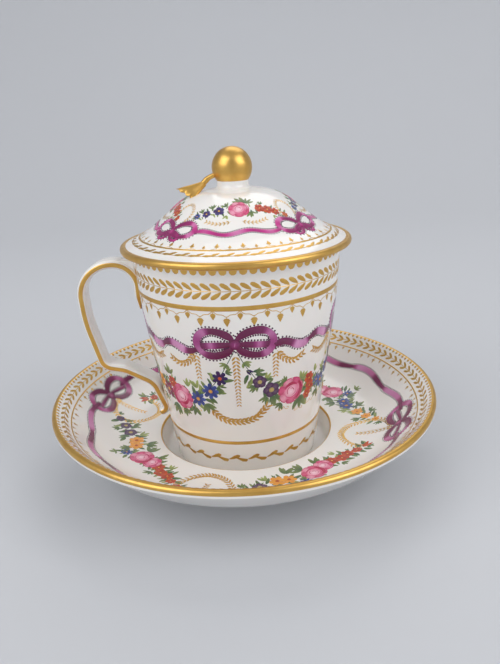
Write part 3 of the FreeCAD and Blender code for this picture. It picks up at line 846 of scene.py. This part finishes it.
class PORCELAIN_OT_saucer(bpy.types.Operator):
    """Turns the dished saucer and paints its rim, ribbon, loops and garlands"""

    bl_idname = "porcelain.saucer"
    bl_label = "Saucer"

    def execute(self, context):
        body = turned("saucer_body", SAUCER_OUTLINE, glazed_porcelain)
        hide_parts("saucer")
        skin = Skin(SAUCER_OUTLINE[1:9], hand=-1)
        gilding = Layer(skin, GILDING_LIFT)
        enamel = Layer(skin, PAINT_LIFT)
        zero = skin.along(radius=34.88)
        lip = skin.along(radius=73.2)
        gilding.ring(lip + 1.35, 3.0)
        gilding.ring(zero - 0.2, 1.2)
        inner = skin.along(radius=68.4)
        gilding.ring(inner, 0.6)
        teeth, pairs, drops = 190, 112, 108
        for _, place in evenly(skin, teeth, lip + 0.2, -90):
            gilding.leaf(place, 1.5, 1.5)
        middle = skin.along(radius=70.6)
        gilding.ring(middle, 0.3)
        for _, place in evenly(skin, pairs, middle):
            for side in (1, -1):
                gilding.leaf(place.beside(0, 0, 180 - side * 33), 3.7, 1.45, bend=side * 0.15,
                             blunt=0.5)
        for i, place in evenly(skin, drops, inner):
            drop(gilding, place, *((0.5, 1.7, 1.0) if i % 2 else (1.1, 2.5, 1.2)))
        knots = bow_angles(SAUCER_BOWS)
        silk = silk_of("saucer")
        for k, angle in enumerate(knots):
            place = Place(skin, angle, zero + 28.4)
            laurel(gilding, place, [(0, -3.4), (0, -17.5)], 1.7, 1.55, spread=50)
            oval = []
            for i in range(29):
                turn = math.radians(78 + 282 * i / 28)
                oval.append((12.6 * math.cos(turn), -13.6 + 9.8 * math.sin(turn)))
            laurel(gilding, place, oval, 2.1, 1.75, spread=50)
            for side in (-1, 1):
                strand = [(side * (0.8 + i), 0.9 - 0.12 * i) for i in range(11)]
                ribbon(enamel, place, strand, 0.9, [(0, 0.8, 0.0), (1, 1, 0.4)], silk, 1.05)
            for turn in (4, 176):
                loop(enamel, place.beside(0, 0.4, turn), 12.4, 5.2, 1.4, silk, 0.95,
                     (0.0, 0.05, 0.45, 0.8))
            knot(enamel, place, 2.1, silk)
            after = angle + 360 / len(knots)
            start = Place(skin, angle, zero + 29.4)
            span = [(skin.hand * x, y) for x, y in
                    meander(skin, angle + 8, after - 8, zero + 29.4, 1.2, 2.5)]
            shift = skin.hand * math.radians(8) * start.radius
            ribbon(enamel, start, [(x + shift, y) for x, y in span], 1.3,
                   LONG_RIBBON_FACES, silk, 1.05)
            # One of the garlands has yellow and blue flowers where the others have pansies
            change = {"pansy": "yellow", "yellow": "blue"} if k == 0 else {}
            garland = [(change.get(kind, kind), degrees, along + zero, size * 1.12, 180 - turn)
                       for kind, degrees, along, size, turn in SAUCER_GARLAND]
            festoon(enamel, skin, angle, garland, 1.35, 3.8, 11 + k)
        gilding.build("saucer_gilding", burnished_gilding)
        enamel.build("saucer_enamel", overglaze_enamel)
        return {"FINISHED"}


# Handle: centre line (distance from the axis, height, rounding), its section and its gilt edges
HANDLE_LINE = [(37.65, 64.5), (37.65, 82.5, 9), (59.8, 82.5, 12.2), (58.8, 60.5, 53),
               (54.2, 41.9, 5), (46.2, 40.2, 10), (35.58, 34.2, 8), (30.98, 21.8, 2.2),
               (34.7, 20.7)]
STRAP_WIDE = 8.9
STRAP_THICK = 3.1
STRAP_ROUND = 1.35


def strap_section():
    """Half-turns of the strap's rounded section as (along thickness, along width)."""
    points = []
    inner_t, inner_w = STRAP_THICK / 2 - STRAP_ROUND, STRAP_WIDE / 2 - STRAP_ROUND
    for quarter, (st, sw) in enumerate(((1, 1), (-1, 1), (-1, -1), (1, -1))):
        for i in range(6):
            angle = math.pi / 2 * (quarter + i / 5)
            points.append((st * inner_t + STRAP_ROUND * math.cos(angle),
                           sw * inner_w + STRAP_ROUND * math.sin(angle)))
    return points


def sweep(line, section, taper):
    """Vertices of a section carried along a line in the handle's upright plane."""
    walked = [0.0]
    for first, last in zip(line, line[1:]):
        walked.append(walked[-1] + (last - first).length)
    points = []
    for i, spot in enumerate(line):
        before, after = line[max(i - 1, 0)], line[min(i + 1, len(line) - 1)]
        run = (after - before).normalized()
        scale = taper(walked[i] / walked[-1])
        for thick, wide in section:
            x = spot.x - run.y * thick * scale
            z = spot.y + run.x * thick * scale
            points.append((-x * MM, wide * MM * (0.25 + 0.75 * scale), z * MM))
    return points


def handle_mesh(name, section, line, taper, closed):
    points = sweep(line, section, taper)
    count = len(section)
    faces = []
    for i in range(len(line) - 1):
        for j in range(count if closed else count - 1):
            k = (j + 1) % count
            faces.append((i * count + j, i * count + k, (i + 1) * count + k,
                          (i + 1) * count + j))
    if closed:
        faces.append(tuple(range(count))[::-1])
        faces.append(tuple(range((len(line) - 1) * count, len(line) * count)))
    thing = new_object(name, points, faces)
    bpy.ops.object.mode_set(mode="EDIT")
    face_outward()
    return thing


def strap_taper(share):
    """The strap thins where it grows out of the wall, and its flicked tail ends round."""
    root = min(1.0, 0.35 + share / 0.05 * 0.65)
    left = (1 - share) / 0.012
    return min(root, math.sqrt(1 - (1 - left) ** 2) * 0.92 + 0.08 if left < 1 else 1.0)


class PORCELAIN_OT_cup(bpy.types.Operator):
    """Turns the cup, sweeps its strap handle, and paints its bands, bows and garlands"""

    bl_idname = "porcelain.cup"
    bl_label = "Cup"

    def execute(self, context):
        body = turned("cup_body", CUP_OUTLINE, glazed_porcelain)
        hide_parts("cup")
        self.add_handle()
        skin = Skin([(28.2, CUP_FOOT), CUP_OUTLINE[4], (38.6, CUP_RIM)])
        gilding = Layer(skin, GILDING_LIFT)
        enamel = Layer(skin, PAINT_LIFT)
        self.add_bands(skin, gilding)
        for k, angle in enumerate(bow_angles(CUP_BOWS)):
            place = Place(skin, angle, 57.0)
            self.add_swags(skin, gilding, angle)
            half = sizes().ribbon_width / MM / 2
            silk = silk_of("cup")
            for turn in (0, 180):
                side = 1 if turn == 0 else -1
                ribbon(enamel, place, [(side * (0.8 + 0.9 * i), 0.3 - 0.07 * i)
                                       for i in range(15)], half * 0.8,
                       [(0, 0.7, 0.0), (0.35, 1, 0.15), (0.6, 1, 0.8), (0.8, 1, 0.2),
                        (1, 1, 0.0)], silk, 1.05, 0.0)
                loop(enamel, place.beside(side * 0.4, 0.5, turn), 12.9, 4.75, 1.5, silk)
            knot(enamel, place.beside(0, 0.1), 2.1, silk)
            step = 360 / sizes().bows
            start = Place(skin, angle + 20.5, 55.4)
            line = meander(skin, angle + 20.5, angle + step - 20.5, 55.4, 1.25, 2)
            ribbon(enamel, start, [(x, y - 0.5 * math.sin(math.pi * x / line[-1][0]))
                                   for x, y in line], half, RIBBON_FACES, silk)
            for degrees, along in ((29, 28.6), (41, 26.6), (52, 27.6), (61, 29.4)):
                tendril(gilding, Place(skin, angle + degrees, along), degrees)
            festoon(enamel, skin, angle, CUP_GARLANDS[k % 2], 1.3, 4.0, 31 + k, CUP_STEMS)
        gilding.build("cup_gilding", burnished_gilding)
        enamel.build("cup_enamel", overglaze_enamel)
        return {"FINISHED"}

    def add_bands(self, skin, gilding):
        """Scallops, laurel, band with its festoons, and the line and running vine at the foot."""
        top = skin.lengths[-1]
        scallops, pairs, count, curls = 74, 73, 26, 26
        gilding.ring(top - 0.55, 0.8)
        for _, place in evenly(skin, scallops, top - 1.2):
            gilding.disc(place, 1.35, sides=10, squash=0.95)
        middle = skin.along(height=79.5)
        gilding.ring(middle, 0.28)
        leaf = sizes().laurel_leaf / MM
        for _, place in evenly(skin, pairs, middle):
            for side in (1, -1):
                gilding.leaf(place.beside(0, side * 0.2, 180 - side * 42), leaf, 1.75,
                             bend=side * 0.16, blunt=0.75)
        band = skin.along(height=73.5)
        gilding.ring(band, 1.7)
        reach = math.pi * skin.ring(band)[0] / count
        for i, place in evenly(skin, count, band - 0.7):
            arc = curve([(-reach, 0.1), (-reach * 0.7, -1.1), (-reach * 0.3, -1.35), (0, -2.1),
                         (reach * 0.3, -1.35), (reach * 0.7, -1.1), (reach, 0.1)], 4)
            gilding.strip(place, arc, [0.15] * len(arc))
            drop(gilding, place.beside(0, -1.9), 0.7, 3.2, 2.1)
            drop(gilding, Place(skin, 360 * (i + 0.5) / count, band - 0.8), 0.8, 2.5, 1.8)
        gilding.ring(skin.along(height=20), 1.5)
        for _, place in evenly(skin, curls, skin.along(height=13.3)):
            gilding.strip(place, [(-3.6, -0.8), (-2.2, -0.35), (-1, 0.3), (0.1, 0.75), (0.9, 0.8)],
                          [0.25, 0.5, 0.8, 0.75, 0.3])
            gilding.strip(place, [(-0.9, 0.1), (0.6, -0.55), (1.8, -1.1), (2.9, -1.25), (3.7, -1)],
                          [0.3, 0.55, 0.8, 0.75, 0.3])

    def add_swags(self, skin, gilding, angle):
        """Gilt laurel round a bow: side swags, three pendants and the arc under them."""
        centre = Place(skin, angle, 53.3)
        width = math.radians(1) * centre.radius
        laurel(gilding, centre, [(0, 0), (0.1, -20.3)], 2.1, 1.5, spread=50, taper=0.4)
        for side in (-1, 1):
            laurel(gilding, centre, [(side * 22.4 * width, 0.0), (side * 22.6 * width, -10)],
                   2.0, 1.5, spread=50, taper=0.3)
            laurel(gilding, centre, curve([(side * 23 * width, 0.2), (side * 28 * width, -3.6),
                                           (side * 34 * width, -5), (side * 41 * width, -3.6)]),
                   2.2, 1.5)
        arc = curve([(-18.3 * width, -22.4), (-11 * width, -26.3), (-1 * width, -27.6),
                     (10 * width, -26.2), (17 * width, -22.2)])
        laurel(gilding, centre, arc, 2.5, 1.75, 0.3, 44)

    def add_handle(self):
        line = rounded(HANDLE_LINE, 0.6)
        ends = zip(line[:-1], line[1:])
        line = [a.lerp(b, i / parts) for a, b in ends
                for parts in [math.ceil((b - a).length / (0.35 if b.y < 24 else 1.2))]
                for i in range(parts)] + [line[-1]]
        strap = handle_mesh("cup_handle", strap_section(), line, strap_taper, True)
        finished(strap, glazed_porcelain, 50)
        self.add_web()
        for side in (1, -1):
            rim = []
            for i in range(-3, 4):
                angle = math.radians(90 + i * 9)
                reach = STRAP_ROUND + (SINK if abs(i) == 3 else GILDING_LIFT)
                offset = math.copysign(STRAP_THICK / 2 - STRAP_ROUND, math.cos(angle)) if i else 0
                rim.append((offset + reach * math.cos(angle),
                            side * (STRAP_WIDE / 2 - STRAP_ROUND + reach * math.sin(angle))))
            edge = handle_mesh("handle_line_" + ("front" if side < 0 else "back"), rim, line,
                               strap_taper, False)
            finished(edge, burnished_gilding, 60)

    def add_web(self):
        """The clay that fills the corner between the arch and the wall."""
        outline = [(36.2, 83.6), (46.6, 83.6), (40.26, 79.9), (37.85, 73.5), (35.75, 73.5)]
        half = STRAP_WIDE / 2 - STRAP_ROUND * 0.6
        web = new_object("handle_web", [(-x * MM, -half * MM, z * MM) for x, z in outline],
                         [tuple(range(len(outline)))])
        bpy.ops.object.mode_set(mode="EDIT")
        bpy.ops.mesh.select_all(action="SELECT")
        bpy.ops.mesh.extrude_region_move(
            TRANSFORM_OT_translate={"value": (0, 2 * half * MM, 0)})
        face_outward()
        bevel = web.modifiers.new("softened", "BEVEL")
        bevel.width, bevel.segments = 0.6 * MM, 3
        bpy.ops.object.modifier_apply(modifier=bevel.name)
        finished(web, glazed_porcelain, 50)


def twig_taper(share):
    """The twig thickens to a knuckle before its leaf."""
    return 0.85 + 0.5 * math.exp(-((share - 0.72) / 0.16) ** 2)


class PORCELAIN_OT_lid(bpy.types.Operator):
    """Turns the domed lid, models its gilt fruit, twig and leaf, and paints it"""

    bl_idname = "porcelain.lid"
    bl_label = "Lid"

    def execute(self, context):
        body = turned("lid_body", LID_OUTLINE, glazed_porcelain)
        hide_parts("lid")
        self.add_ball()
        self.add_twig()
        self.add_leaf()
        skin = Skin(LID_OUTLINE[9:1:-1])
        gilding = Layer(skin, GILDING_LIFT)
        enamel = Layer(skin, PAINT_LIFT)
        bead = skin.along(radius=LID_R - 0.6)
        gilding.ring(bead + 1.6, 4.9)
        flange = self.flange_start(skin)
        gilding.ring(flange + 0.1, 0.65)
        vines = 94
        for i, place in evenly(skin, vines, flange - 2.75):
            side = 1 if i % 2 else -1
            gilding.leaf(place.beside(0, -side * 0.1, 16 + side * 17), 3.6, 1.35,
                         bend=-side * 0.12, blunt=0.3)
        gilding.ring(flange - 2.8, 0.35)
        count = 25
        for i in range(count * 2):
            place = Place(skin, 360 * i / count / 2, flange + 0.2)
            half = math.pi * place.radius / count / 2
            tall = i % 2 == 0
            gilding.strip(place, curve([(-half, 0.1), (0, 0.7 if tall else 0.3), (half, 0.1)]),
                          [0.13] * 13)
            drop(gilding, place.beside(0, 0.5, 180), 0.7 if tall else 0.3, 2.3 if tall else 1.6,
                 1.4 if tall else 1.0)
        zero = flange - 5.66
        silk = silk_of("lid")
        angles = bow_angles(LID_BOWS, LID_BOW_GAP)
        for k, angle in enumerate(angles):
            place = Place(skin, angle, zero + 13.3)
            reach = ((angles + [angles[0] + 360])[k + 1] - angle) / 90
            for turn in (0, 180):
                side = 1 if turn == 0 else -1
                loop(enamel, place.beside(side * 0.3, 0.3, turn + side * 10), 9.4, 3.0, 1.05,
                     silk, 0.85, (0.1, 0.0, 0.6, 0.85))
                loop(enamel, place.beside(side * 0.3, -0.2, turn - side * 38), 5.0, 1.4, 0.7, silk,
                     0.85, (0.0, 0.1, 0.5, 0.3))
            knot(enamel, place, 1.5, silk)
            start = Place(skin, angle + 16 * reach, zero + 13.6)
            line = meander(skin, angle + 16 * reach, angle + 74 * reach, zero + 13.6, 0.8, 2)
            ribbon(enamel, start, line, 0.9, LID_RIBBON_FACES, silk, 0.85)
            garland = [(kind, degrees * reach, along + zero - 2.2, size, turn)
                       for kind, degrees, along, size, turn in LID_GARLAND]
            festoon(enamel, skin, angle, garland, 1.5, 2.1, 51 + k)
            chain = []
            for i in range(25):
                turn = math.radians(-60 + 300 * i / 24)
                chain.append((4.4 * math.cos(turn), 8.2 + 4.2 * math.sin(turn)))
            laurel(gilding, place, chain, 1.0, 1.15, 0.1, 55)
            for side in (-1, 1):
                width = math.radians(1) * skin.ring(zero + 18)[0]
                middle = Place(skin, angle + 45 * reach, zero + 18)
                laurel(gilding, middle, curve([(side * 4 * width, 0.4), (side * 14 * width, -0.6),
                                               (side * 24 * width, 0.5)]), 1.2, 1.3, 0.1, 50)
        gilding.build("lid_gilding", burnished_gilding)
        enamel.build("lid_enamel", overglaze_enamel)
        return {"FINISHED"}

    def flange_start(self, skin):
        """Millimetres along the top of the lid where the flange meets the dome."""
        return next(way for way, p in zip(skin.lengths, skin.profile) if p.x <= 35.4)

    def add_ball(self):
        """The gilt fruit, a turned ball on the neck."""
        radius = 7.27
        points = [(0, BALL_TOP)]
        for i in range(1, 40):
            angle = math.pi * i / 40
            if BALL_TOP - radius + radius * math.cos(angle) > 110.2:
                points.append((radius * math.sin(angle),
                               BALL_TOP - radius + radius * math.cos(angle)))
        points += [(5.5, 110.2), (0, 110.2)]
        turned("lid_ball", points, burnished_gilding)

    def add_twig(self):
        line = rounded([(5.8, 112.7), (8.6, 111.6, 5), (11.6, 108.9)], 0.25)
        ring = [(1.05 * math.cos(math.tau * i / 16), 1.05 * math.sin(math.tau * i / 16))
                for i in range(16)]
        twig = handle_mesh("lid_twig", ring, line, twig_taper, True)
        finished(twig, burnished_gilding, 60)

    def add_leaf(self):
        """A gilt leaf that opens from the twig, folded along its rib, with a notched edge."""
        stalk = Vector((-10.4, -0.3, 109.6))
        centre = Vector((-16.6, -4.6, 106.7))
        across = Vector((3.6, -3.0, -2.1)).normalized()
        out = (centre - stalk).normalized()
        up = across.cross(out).normalized()
        if up.z < 0:
            up = -up
        steps_along, steps_across = 10, 18
        rows = []
        for face in (1, -1):
            for i in range(steps_along + 1):
                t = i / steps_along
                row = []
                for j in range(steps_across + 1):
                    w = 2 * j / steps_across - 1
                    half = 1.1 + 3.3 * t ** 1.1
                    notch = 0.35 * math.cos(w * math.pi * 3.5) + 0.7 * abs(w) ** 1.5
                    reach = t * ((centre - stalk).length + notch * t)
                    fold = 0.55 * (abs(w) * t) - 0.35 * t
                    rim = max(0.0, 1 - max(abs(w), t) ** 8)
                    spot = (stalk + out * reach + across * (w * half)
                            + up * (fold + face * (0.12 + 0.62 * rim)))
                    row.append(spot * MM)
                rows.append(row)
        count = steps_across + 1
        points = [tuple(p) for row in rows for p in row]
        faces = []
        for face in (0, 1):
            base = face * (steps_along + 1)
            for i in range(steps_along):
                for j in range(steps_across):
                    quad = [(base + i) * count + j, (base + i) * count + j + 1,
                            (base + i + 1) * count + j + 1, (base + i + 1) * count + j]
                    faces.append(tuple(quad if face else quad[::-1]))
        border = [(0, j) for j in range(steps_across)]
        border += [(i, steps_across) for i in range(steps_along)]
        border += [(steps_along, j) for j in range(steps_across, 0, -1)]
        border += [(i, 0) for i in range(steps_along, 0, -1)]
        lower = (steps_along + 1) * count
        for (i, j), (k, m) in zip(border, border[1:] + border[:1]):
            faces.append((i * count + j, k * count + m, lower + k * count + m,
                          lower + i * count + j))
        leaf = new_object("lid_leaf", points, faces)
        bpy.ops.object.mode_set(mode="EDIT")
        face_outward()
        finished(leaf, burnished_gilding, 60)


# Camera as it stood for the photograph: place in millimetres, angles in degrees
CAMERA_SPOT = (-0.6, -222.3, 132.1)
CAMERA_YAW = 1.084
CAMERA_PITCH = 19.862
CAMERA_ROLL = -2.791
CAMERA_LENS = 32.53


class PORCELAIN_OT_stage(bpy.types.Operator):
    """Sets up the floor that curves up into a backdrop all round, the lights and the camera"""

    bl_idname = "porcelain.stage"
    bl_label = "Stage"

    def execute(self, context):
        self.add_floor()
        self.add_lights(context.scene)
        self.add_camera(context.scene)
        context.scene.view_settings.view_transform = "Standard"
        return {"FINISHED"}

    def add_floor(self):
        profile = rounded([(0, 0), (1500, 0, 900), (1500, 1500)], 50)
        count, steps = len(profile), 96
        points = [(0, 0, 0)]
        for i in range(steps):
            turn = math.tau * i / steps
            points += [(p.x * math.cos(turn) * MM, p.x * math.sin(turn) * MM, p.y * MM)
                       for p in profile[1:]]
        faces = []
        for i in range(steps):
            near, far = 1 + i * (count - 1), 1 + (i + 1) % steps * (count - 1)
            faces.append((0, near, far))
            faces += [(near + j, near + j + 1, far + j + 1, far + j) for j in range(count - 2)]
        floor = new_object("backdrop", points, faces)
        floor.data.materials.append(made_once(matt_backdrop))
        bpy.ops.object.shade_smooth_by_angle(angle=math.radians(40))

    def add_lights(self, scene):
        world = bpy.data.worlds.new("studio")
        scene.world = world
        world.use_nodes = True
        background = world.node_tree.nodes["Background"]
        background.inputs["Color"].default_value = (*linear("E6E6E8"), 1)
        background.inputs["Strength"].default_value = 0.64
        for name, spot, size, power in (
                ("window", (0.2, 0.8, 1.15), 1.0, 3.8),
                ("softbox_left", (-0.85, -0.6, 0.85), 1.0, 7.3),
                ("softbox_right", (0.85, -0.55, 0.8), 0.9, 6.4)):
            data = bpy.data.lights.new(name, "AREA")
            data.shape = "SQUARE"
            data.size = size
            data.energy = power
            lamp = bpy.data.objects.new(name, data)
            scene.collection.objects.link(lamp)
            lamp.location = spot
            aim = Vector((0, 0, 0.05)) - Vector(spot)
            lamp.rotation_euler = aim.to_track_quat("-Z", "Y").to_euler()

    def add_camera(self, scene):
        data = bpy.data.cameras.new("camera")
        data.lens = CAMERA_LENS
        data.sensor_width = 36
        camera = bpy.data.objects.new("camera", data)
        scene.collection.objects.link(camera)
        yaw, pitch, roll = (math.radians(v) for v in (CAMERA_YAW, CAMERA_PITCH, CAMERA_ROLL))
        ahead = Vector((math.sin(yaw) * math.cos(pitch), math.cos(yaw) * math.cos(pitch),
                        -math.sin(pitch)))
        right = Vector((math.cos(yaw), -math.sin(yaw), 0))
        up = right.cross(ahead)
        side = right * math.cos(roll) + up * math.sin(roll)
        top = up * math.cos(roll) - right * math.sin(roll)
        turn = Matrix((side, top, -ahead)).transposed().to_4x4()
        camera.matrix_world = Matrix.Translation(Vector(CAMERA_SPOT) * MM) @ turn
        scene.camera = camera


class PORCELAIN_PT_panel(bpy.types.Panel):
    """Pieces of the covered cup and saucer"""

    bl_label = "Covered cup and saucer"
    bl_idname = "PORCELAIN_PT_panel"
    bl_space_type = "VIEW_3D"
    bl_region_type = "UI"
    bl_category = "Porcelain"

    def draw(self, context):
        for group in (context.scene.porcelain_sizes, context.scene.porcelain_colours):
            for name in group.bl_rna.properties.keys():
                if name not in ("rna_type", "name"):
                    self.layout.prop(group, name)
        for operator in OPERATORS:
            self.layout.operator(operator.bl_idname)


OPERATORS = (PORCELAIN_OT_saucer, PORCELAIN_OT_cup, PORCELAIN_OT_lid, PORCELAIN_OT_stage)
CLASSES = (PorcelainSizes, PorcelainColours, *OPERATORS, PORCELAIN_PT_panel)


def register():
    for cls in CLASSES:
        bpy.utils.register_class(cls)
    bpy.types.Scene.porcelain_sizes = bpy.props.PointerProperty(type=PorcelainSizes)
    bpy.types.Scene.porcelain_colours = bpy.props.PointerProperty(type=PorcelainColours)


def unregister():
    del bpy.types.Scene.porcelain_colours
    del bpy.types.Scene.porcelain_sizes
    for cls in reversed(CLASSES):
        bpy.utils.unregister_class(cls)


def main():
    register()
    bpy.ops.porcelain.saucer()
    bpy.ops.porcelain.cup()
    bpy.ops.porcelain.lid()
    bpy.ops.porcelain.stage()


if __name__ == "__main__":
    main()
